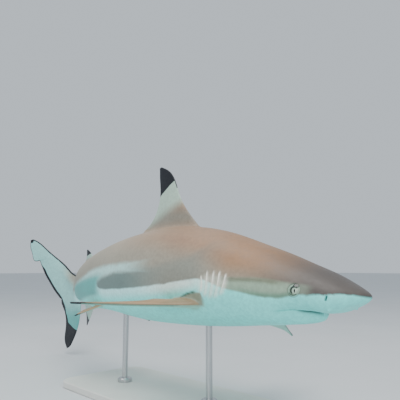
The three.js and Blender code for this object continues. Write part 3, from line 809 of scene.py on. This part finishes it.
def body_markings(marks, station, side, height):
    """The back, the flank's band under it, the pale stripe between them, and painted shade on the
    tail stalk and the tail fin's lower lobe.
    """
    low = height - value_on(PIGMENT_LOW, station)
    band_top = value_on(BAND_TOP, station)
    back = (height - value_on(STRIPE_TOP, station)) * 0.3
    band = np.minimum(np.minimum(low, (band_top - height) * 0.3), (BAND_END - station) * 0.6)
    marks["pattern"] = np.clip(np.maximum(back, band), -20, 20)
    marks["low"] = np.clip(low, -60, 60)
    marks["lift"] = np.clip(height - value_on(BACK_LINE, station), -20, 90)
    marks["stripe"] = ease(station, *STRIPE_FADE)
    strength = (0.4 + 0.6 * ease(station, 330, 500)) * ease(station, 215, 300)
    strength *= ease(band_top + 13 - height, 0, 20)
    marks["band"] = strength * (station < BAND_END + 20)
    marks["rear"] = ease(station, 320, 640)
    marks["station"] = station * MM
    # painted shade: the tail fin's lower lobe and the low tail stalk behind the band are coloured a
    # darker teal, as shade
    tail = ease(station, 930, 960) * (1 - ease(height, -75, -20))
    stalk = ease(station + 0.6 * height, 552, 608) * (1 - ease(station, 850, 940))
    marks["shade"] = np.maximum(tail, stalk * window(height, (-50, -38), (-10, 6)))
    # the fold of skin above the root of each pectoral fin: the fin's brown carried onto the body
    # and darkened a little as painted shade, with a painted shadow line in the crease above it
    fold = value_on(PECTORAL_FOLD, station) - height
    outer = np.abs(side) > 40
    patch = (ease(fold, -1, 1.5) * (1 - ease(-height, 40, 46))
             * window(station, (250, 262), (300, 312)) * outer)
    paint(marks, "fin_brown", 0.8 * patch)
    paint(marks, "dusky", 0.3 * patch)
    paint(marks, "dusky", bell(fold, 2.0) * window(station, (268, 280), (302, 312)) * outer)


def head_markings(marks, station, side, height):
    """The head: darker towards the snout, partly pigment and partly painted shade, with a greenish
    cheek under a dark streak, and the fine marks of gills, mouth, eyes and nostrils, the dark ones
    being painted shade in their slits and creases."""
    marks["head"] = 1 - ease(station, 205, 300)
    # darker towards the snout: partly pigment, partly painted shade on the head's top
    marks["fore"] = 1 - ease(station, 55, 200)
    streak = height - value_on(HEAD_STREAK, station)
    cheek = 0.45 * ease(station, 56, 76) + 0.55 * ease(station, 84, 106)
    cheek *= 1 - ease(station, 200, 262)
    marks["cheek"] = cheek * (1 - ease(streak, -1, 5))
    marks["streak"] = bell(streak, 3.6) * window(station, (96, 125), (215, 245))
    above_low = height - value_on(PIGMENT_LOW, station)
    marks["cheek_rim"] = bell(above_low - 2.5, 4.5) * window(station, (80, 100), (150, 215))
    for slit in GILLS:
        behind, strength = gill_at(slit, station, side, height)
        below_top = slit[0][1] - height
        flap = bell(behind + 2, 2.2) * (1 - 0.75 * ease(below_top, 16, 30))
        haze = 0.6 * bell(behind + 2, 6) * ease(below_top, 1, 12)
        paint(marks, "gill_pale", np.maximum(flap, haze) * strength)
        # painted shade in each gill slit, just behind its line
        paint(marks, "gill_slit_shade", bell(behind - 0.9, 0.9) * strength)
    # painted shadow in the mouth's groove, widest under the upper lip's edge
    distance, strength, inside = mouth_at(station, side, height)
    corner = ease(np.abs(side), 30, 44)
    front = 1 - ease(np.abs(side), 18, 26)
    width = 1.5 - 0.5 * corner + np.where(inside > 0, 2.2 * (1 - corner), 0.9 * front)
    marks["mouth"] = bell(distance, width) * strength * (1 - 0.6 * corner)
    from_lid = eye_distance(station, side, height) - EYE_OPENING
    marks["lid"] = bell(from_lid - 1.5, 1.5)
    # painted shade in the crease round the eye, and under the eye, partly the lower lid's dark edge
    crease_shade = 0.55 * bell(from_lid - EYE_CREASE[1], EYE_CREASE[2])
    crease_shade *= 0.4 + 0.6 * ease(station, 80, 90)
    shade_under_eye = bell(from_lid - 0.8, 1.0) * ease(EYE["height"] - height, 1, 5)
    marks["eye_ring_shade"] = np.maximum(crease_shade, shade_under_eye)
    # painted shade in the nostril's slit
    marks["nostril"] = bell(nostril_at(station, side, height)[0], 1.2)


def upright_markings(marks, station, side, height):
    """Black and pale parts of the fins in the body's middle plane."""
    thin, at = np.abs(side) < 14, (station, height)

    def from_edge(shape, which):
        return outline_distance(shape, *at, which)

    fin = thin & in_blade(DORSAL_1, *at) & (height > 96)
    paint(marks, "black", past_line(*at, *DORSAL_1_BLACK), fin)
    paint(marks, "black", 1.6 - from_edge(DORSAL_1, "lead"), fin & (height > 176))
    paint(marks, "white", (height - 112 + (station - 430) * 0.45) / 38, fin)
    paint(marks, "band", 0.5 * bell(height - 116, 20), fin)

    fin = thin & in_blade(DORSAL_2, *at) & (height > 55)
    paint(marks, "black", height - 72 + (station - 775) * 0.1, fin)
    paint(marks, "white", (height - 60) / 6, fin)

    fin = thin & in_blade(ANAL, *at) & (height < -46)
    paint(marks, "black", past_line(*at, *ANAL_BLACK), fin & (height < -58))
    paint(marks, "white", (-height - 40) / 12, fin)

    fin = thin & in_blade(TAIL_LOWER, *at) & (station > 945)
    margin = 4.5 + 10 * ease(-height, 36, 92)
    paint(marks, "black", past_line(*at, *TAIL_BLACK), fin)
    paint(marks, "black", margin - from_edge(TAIL_LOWER, "rear"), fin & (height < -8))

    fin = thin & in_blade(TAIL_UPPER, *at) & (station > 945)
    margin = 9 - 7 * ease(station, 1140, 1162)
    from_lead = from_edge(TAIL_UPPER, "lead")
    tip_station, tip_height, tip_radius = TAIL_TIP_BLACK
    paint(marks, "black", margin - from_edge(TAIL_UPPER, "rear"), fin & (station > 1030))
    paint(marks, "black", 3.4 - from_lead, fin & (height > 30))
    paint(marks, "black", tip_radius - np.hypot(station - tip_station, height - tip_height), fin)
    root_tan = (1 - ease(station, 960, 1110)) * (1 - ease(from_lead, 8, 44))
    paint(marks, "white", 0.96 - 0.75 * root_tan, thin & (station > 915))


def paired_markings(marks, points, proud):
    """Black tips and edges, brown upper sides and pale undersides of the paired fins, from how far
    each point stands out of the body."""
    for fin in PAIRED_FINS:
        origin, axes = paired_frame(fin)
        back, outward, offset = ((points - origin) @ axes).T
        shape = fin[0]
        tip_start, rim_start, rim_below = PECTORAL_BLACK if shape is PECTORAL else PELVIC_BLACK
        near = in_blade(shape, back, outward) & (np.abs(offset) < 16) & (outward > 2) & (proud > -1)
        from_edge = np.minimum(outline_distance(shape, back, outward, "lead"),
                               outline_distance(shape, back, outward, "rear"))
        upper = ease(offset, -1.0, 0.6)
        tip = outward - tip_start
        rim = 1.8 * ease(outward, rim_start, tip_start) - 0.6 - from_edge
        below = np.minimum(tip, rim_below - from_edge)
        blade = ease(proud, -0.5, 3)
        dusky = 0.6 * bell(from_edge, 1.3) * ease(outward, 20, 60)
        paint(marks, "black", np.where(upper > 0.4, np.maximum(tip, rim), below), near)
        paint(marks, "fin_brown", blade * upper, near)
        paint(marks, "fin_pale", blade * (1 - upper), near)
        paint(marks, "dusky", dusky, near)


def markings(points):
    """Every marking's value at each point of the skin: a signed distance in mm or a strength."""
    station, side, height = unplace(points)
    names = ("white", "fin_brown", "fin_pale", "dusky", "gill_pale", "gill_slit_shade")
    marks = {name: np.zeros(len(points)) for name in names}
    marks["black"] = np.full(len(points), -9.0)
    body_markings(marks, station, side, height)
    head_markings(marks, station, side, height)
    upright_markings(marks, station, side, height)
    paired_markings(marks, points, np.abs(side) - width_at(station, height))
    return marks


def store(data, name, values):
    attribute = data.attributes.new(name, "FLOAT", "POINT")
    attribute.data.foreach_set("value", np.asarray(values, np.float32))


skin_points = np.array([v.co for v in skin.data.vertices]) / MM
for mark, values in markings(skin_points).items():
    store(skin.data, mark, values)

# ---------- materials


def rgb(red, green, blue):
    """A colour from its display values, 0 to 255."""
    return tuple((v / 255) ** 2.2 for v in (red, green, blue)) + (1.0,)


class Nodes:
    """A material's node tree, built one call at a time."""

    def __init__(self, name):
        self.material = bpy.data.materials.new(name)
        self.material.use_nodes = True
        self.tree = self.material.node_tree
        self.shader = self.tree.nodes["Principled BSDF"]

    def feed(self, socket, value):
        if isinstance(value, bpy.types.NodeSocket):
            self.tree.links.new(value, socket)
        else:
            socket.default_value = value

    def make(self, kind, output, inputs=None, **settings):
        """One output of a new shader node, with its inputs and settings as given."""
        node = self.tree.nodes.new("ShaderNode" + kind)
        for key, value in settings.items():
            setattr(node, key, value)
        for key, value in (inputs or {}).items():
            self.feed(node.inputs[key], value)
        return node.outputs[output]

    def attribute(self, name):
        return self.make("Attribute", "Fac", attribute_name=name)

    def position(self):
        return self.make("TexCoord", "Object")

    def math(self, operation, first, second=0.0):
        return self.make("Math", 0, {0: first, 1: second}, operation=operation)

    def times(self, first, second):
        return self.math("MULTIPLY", first, second)

    def rest(self, share):
        return self.math("SUBTRACT", 1.0, share)

    def ramp(self, value, low, high, start=0.0, end=1.0):
        """A smooth step of value between low and high, from start to end."""
        inputs = {"Value": value, "From Min": low, "From Max": high, "To Min": start, "To Max": end}
        return self.make("MapRange", "Result", inputs, interpolation_type="SMOOTHSTEP")

    def mix(self, share, first, second, blend="MIX"):
        inputs = {0: share, 6: first, 7: second}
        return self.make("Mix", 2, inputs, data_type="RGBA", blend_type=blend)

    def layered(self, colour, *layers):
        """A colour with others laid over it in turn, each given as (share, colour)."""
        for share, over in layers:
            colour = self.mix(share, colour, over)
        return colour

    def noise(self, vector, scale, detail=3.0, roughness=0.5):
        inputs = {"Vector": vector, "Scale": scale, "Detail": detail, "Roughness": roughness}
        return self.make("TexNoise", "Fac", inputs)

    def bump(self, height, strength, distance, under=None):
        """Bumps of a height, on top of another bump if that is given."""
        inputs = {"Height": height, "Strength": strength, "Distance": distance}
        if under is not None:
            inputs["Normal"] = under
        return self.make("Bump", "Normal", inputs)

    def finish(self, **sockets):
        for name, value in sockets.items():
            self.feed(self.shader.inputs[name.replace("_", " ")], value)
        return self.material


BACK_TAN = rgb(155, 125, 102)
BACK_GREY = rgb(165, 159, 143)
NECK_TAN = rgb(150, 112, 79)
HEAD_DARK_AND_SHADE = rgb(84, 78, 74)
LOWER_GREY = rgb(154, 150, 136)
BAND_GREY = rgb(109, 129, 125)
CHEEK_GREEN = rgb(150, 172, 150)
CHEEK_RIM = rgb(105, 143, 122)
STREAK_BROWN = rgb(104, 104, 84)
# painted shade: the lower belly darker and cyan, the flank colours paler above it
BELLY_SHADED = rgb(130, 242, 234)
FLANK_PALE = rgb(196, 254, 252)
FLANK_CREAM = rgb(226, 252, 244)
STRIPE_PALE = rgb(184, 226, 222)
FIN_WHITE = rgb(176, 200, 184)
TAIL_WHITE_SHADED = rgb(158, 214, 210)
# painted shade on the tail stalk and the tail fin's lower lobe
TAIL_PAINTED_SHADE = rgb(96, 178, 172)
FIN_BROWN = rgb(166, 138, 106)
FIN_PALE = rgb(150, 218, 200)
BLACK = rgb(6, 14, 26)
GILL_PALE = rgb(255, 255, 240)
# painted shade in the gill slits
GILL_SLIT_SHADE = rgb(112, 120, 106)
# painted shadow in the mouth and nostril slits
SLIT_SHADOW = rgb(42, 50, 46)
# dusky fin edges, and painted shade in the creases round the eye and above the pectoral fins
DUSKY_AND_SHADE = rgb(58, 84, 68)
LID_PALE = rgb(150, 186, 164)


def skin_material():
    n = Nodes("shark_skin")
    mark = n.attribute
    where = n.position()
    cloud = n.noise(where, 14, 4, 0.6)
    speckle = n.noise(where, 160, 3, 0.65)
    ragged = n.math("SUBTRACT", n.noise(where, 55, 4, 0.6), 0.5)
    # the back: tan, warmest behind the head, greyer to the rear and flank, dark on the snout,
    # partly pigment and partly painted shade
    brown = n.layered(
        BACK_TAN,
        (n.times(n.ramp(cloud, 0.35, 0.65, 0.35, 1.0), mark("head")), NECK_TAN),
        (mark("rear"), BACK_GREY),
        (n.ramp(mark("lift"), 50, 5, 0.0, 0.85), LOWER_GREY),
        (mark("fore"), HEAD_DARK_AND_SHADE),
        (mark("cheek"), CHEEK_GREEN),
        (mark("cheek_rim"), CHEEK_RIM),
        (n.times(mark("streak"), 0.8), STREAK_BROWN),
        (mark("band"), BAND_GREY),
    )
    # the pale underside: darker and cyan low on the belly and paler up the flank, as painted shade
    belly = n.layered(
        BELLY_SHADED,
        (n.times(n.ramp(mark("low"), -26, -4), n.rest(mark("head"))),
         n.mix(n.ramp(mark("station"), 0.34, 0.46), FLANK_CREAM, FLANK_PALE)),
        (n.ramp(mark("low"), 8, 22), STRIPE_PALE),
        # painted shade over the low tail stalk and the lower tail lobe
        (mark("shade"), TAIL_PAINTED_SHADE),
    )
    # fin whites: those towards the tail darker and cyan, as painted shade, with the tail's painted
    # shade over them
    white = n.layered(
        FIN_WHITE,
        (n.ramp(mark("station"), 0.7, 0.9), TAIL_WHITE_SHADED),
        (mark("shade"), TAIL_PAINTED_SHADE),
    )
    # where there is pigment at all
    pattern = n.math("ADD", mark("pattern"), n.times(ragged, 2.5))
    low = n.math("ADD", mark("low"), n.times(ragged, 9.0))
    over_low = n.times(n.ramp(low, -2.2, 2.2), n.rest(mark("stripe")))
    pigment = n.math("MAXIMUM", n.ramp(pattern, -2.2, 2.2), over_low)
    black = n.math("ADD", mark("black"), n.times(ragged, 3.0))
    colour = n.layered(
        belly,
        (pigment, brown),
        (n.ramp(mark("white"), 0.15, 1), white),
        (mark("fin_pale"), FIN_PALE),
        (mark("fin_brown"), FIN_BROWN),
        (mark("dusky"), DUSKY_AND_SHADE),
        (n.times(mark("gill_slit_shade"), 0.6), GILL_SLIT_SHADE),
        (n.times(mark("gill_pale"), 0.95), GILL_PALE),
        (n.times(mark("lid"), 0.8), LID_PALE),
        (mark("eye_ring_shade"), DUSKY_AND_SHADE),
        (mark("mouth"), SLIT_SHADOW),
        (mark("nostril"), SLIT_SHADOW),
        (n.ramp(black, -0.8, 0.8), BLACK),
    )
    # faint mottling, skin teeth and shallow dents
    clouds = n.ramp(cloud, 0.3, 0.7, -0.05, 0.05)
    mottling = n.math("ADD", n.ramp(speckle, 0.3, 0.7, 0.9, 1.06), clouds)
    cells = n.make("TexVoronoi", "Distance", {"Vector": where, "Scale": 900})
    return n.finish(
        Base_Color=n.mix(1.0, colour, mottling, "MULTIPLY"),
        Roughness=n.ramp(speckle, 0.3, 0.7, 0.42, 0.56),
        Normal=n.bump(n.noise(where, 45), 0.25, 0.0008, n.bump(cells, 0.12, 0.0004)),
    )


skin.data.materials.clear()
skin.data.materials.append(skin_material())

# ---------- eyes

PUPIL = (1.2, 2.7)  # half width and half height of the upright slit
IRIS_EDGE = 5.0
LIDS_AT = (74, 98, -6)  # stations and height of two places on the skin ahead of and behind the eye


def eye_object(name, sign):
    station, height = EYE["station"], EYE["height"]
    centre = place(station, sign * (width_at(station, height) - EYE["sunk"]), height)
    ahead_of, behind, level = LIDS_AT
    fore, aft = (place(s, sign * width_at(s, level), level) for s in (ahead_of, behind))
    _, left, up = axes_at(station)
    along = (fore - aft) / np.linalg.norm(fore - aft)
    gaze = np.cross(along, up) * sign
    gaze *= np.sign(gaze @ (left * sign)) / np.linalg.norm(gaze)
    mesh = bmesh.new()
    bmesh.ops.create_uvsphere(mesh, u_segments=64, v_segments=48, radius=EYE["radius"] * MM)
    points = np.array([v.co for v in mesh.verts])
    for vert, point in zip(mesh.verts, points @ np.stack([along, up, gaze]) + centre * MM):
        vert.co = point
    made = finish_mesh(name, mesh)
    made.data.shade_smooth()
    for axis, mark in enumerate(("eye_along", "eye_up", "eye_out")):
        store(made.data, mark, points[:, axis] / MM)
    return made


def eye_material():
    n = Nodes("shark_eye")
    along, up, out = (n.attribute(name) for name in ("eye_along", "eye_up", "eye_out"))
    from_centre = n.math("SQRT", n.math("ADD", n.times(along, along), n.times(up, up)))
    wide, tall = (n.math("DIVIDE", value, half) for value, half in zip((along, up), PUPIL))
    pupil = n.math("ADD", n.times(wide, wide), n.times(tall, tall))
    angle = n.math("ARCTAN2", up, along)
    spokes = {0: n.times(angle, 6.0), 1: n.times(from_centre, 0.25)}
    fibres = n.noise(n.make("CombineXYZ", 0, spokes), 3.0, 4, 0.6)
    rim = n.ramp(from_centre, IRIS_EDGE - 1.3, IRIS_EDGE - 0.4)
    # painted shadow of the upper lid: the iris's dark rim is strongest on its upper rear side,
    # faint elsewhere
    upper_lid_shadow = n.ramp(n.math("SUBTRACT", up, along), -2.0, 2.0, 0.25, 1.0)
    iris = n.layered(
        n.mix(n.ramp(fibres, 0.3, 0.7), rgb(140, 172, 146), rgb(196, 220, 196)),
        # painted highlight: the iris paler round its middle
        (n.ramp(from_centre, 3.0, 1.2), rgb(208, 228, 208)),
        (n.times(rim, upper_lid_shadow), rgb(34, 48, 42)),
        (n.ramp(pupil, 1.25, 0.85), rgb(8, 10, 12)),
    )
    return n.finish(
        Base_Color=n.mix(n.ramp(out, 0.0, 2.0), rgb(40, 42, 40), iris),
        Roughness=n.ramp(fibres, 0.3, 0.7, 0.22, 0.34),
        Normal=n.bump(fibres, 0.1, 0.0002),
        Coat_Weight=1.0,
        Coat_Roughness=0.03,
        Coat_IOR=1.38,
    )


eye_finish = eye_material()
for eye_name, eye_sign in (("right", -1), ("left", 1)):
    eye = eye_object(f"shark_eye_{eye_name}", eye_sign)
    eye.data.materials.append(eye_finish)
    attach(eye, "root")
    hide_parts(f"eye_{eye_name}")

# ---------- the stand


def paint_material():
    n = Nodes("stand_paint")
    where = n.position()
    peel = n.noise(where, 420, 2, 0.5)
    cloud = n.noise(where, 9, 3, 0.5)
    return n.finish(
        Base_Color=n.mix(n.ramp(cloud, 0.3, 0.7), rgb(214, 214, 208), rgb(222, 222, 217)),
        Roughness=n.ramp(cloud, 0.3, 0.7, 0.46, 0.56),
        Normal=n.bump(peel, 0.25, 0.0003),
    )


def steel_material():
    n = Nodes("stand_steel")
    drawn = n.make("Mapping", "Vector", {"Vector": n.position(), "Scale": (2200, 2200, 26)})
    lines = n.noise(drawn, 1.0, 3, 0.6)
    return n.finish(
        Base_Color=n.mix(n.ramp(lines, 0.3, 0.7), rgb(176, 178, 180), rgb(206, 208, 210)),
        Roughness=n.ramp(lines, 0.3, 0.7, 0.24, 0.4),
        Normal=n.bump(lines, 0.15, 0.0001),
        Metallic=1.0,
    )


def refinish(node, material):
    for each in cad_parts[node].material_slots:
        each.material = material


refinish("stand_base", paint_material())
steel = steel_material()
refinish("stand_rod_front", steel)
refinish("stand_rod_rear", steel)

# ---------- floor, light and camera


def floor_and_world():
    bpy.ops.mesh.primitive_plane_add(size=40, location=(0, 0, 0))
    floor = bpy.context.object
    floor.name = "floor"
    n = Nodes("floor")
    cloud = n.ramp(n.noise(n.position(), 3, 2, 0.5), 0.3, 0.7)
    colour = n.mix(cloud, rgb(206, 211, 214), rgb(210, 214, 217))
    floor.data.materials.append(n.finish(Base_Color=colour, Roughness=0.9))
    world = bpy.data.worlds.new("studio")
    world.use_nodes = True
    background = world.node_tree.nodes["Background"]
    background.inputs["Color"].default_value = rgb(205, 214, 222)
    background.inputs["Strength"].default_value = 1.0
    bpy.context.scene.world = world


def lamp(name, place_at, aim, size, power, colour):
    light = bpy.data.lights.new(name, "AREA")
    light.size, light.energy, light.color = size, power, colour
    made = bpy.data.objects.new(name, light)
    made.location = place_at
    made.rotation_euler = (Vector(aim) - Vector(place_at)).to_track_quat("-Z", "Y").to_euler()
    bpy.context.scene.collection.objects.link(made)


floor_and_world()
lamp("overhead", (0.2, -0.4, 2.4), (0, 0, 0.2), 1.8, 46, (1, 0.97, 0.93))
lamp("front", (1.6, -2.2, 1.1), (0, 0, 0.25), 1.6, 26, (1, 1, 1))

CAMERA_PLACE = (0.7349, -0.6074, 0.2543)
CAMERA_AZIMUTH = 136.0  # degrees from +X
CAMERA_PITCH = 8.37
CAMERA_LENS = 41.29

azimuth, pitch = math.radians(CAMERA_AZIMUTH), math.radians(CAMERA_PITCH)
facing = Vector((
    math.cos(azimuth) * math.cos(pitch), math.sin(azimuth) * math.cos(pitch), math.sin(pitch)))
lens = bpy.data.cameras.new("camera")
lens.sensor_width, lens.lens, lens.clip_start = 36, CAMERA_LENS, 0.01
camera = bpy.data.objects.new("camera", lens)
camera.location = CAMERA_PLACE
camera.rotation_euler = facing.to_track_quat("-Z", "Y").to_euler()
bpy.context.scene.collection.objects.link(camera)
bpy.context.scene.camera = camera
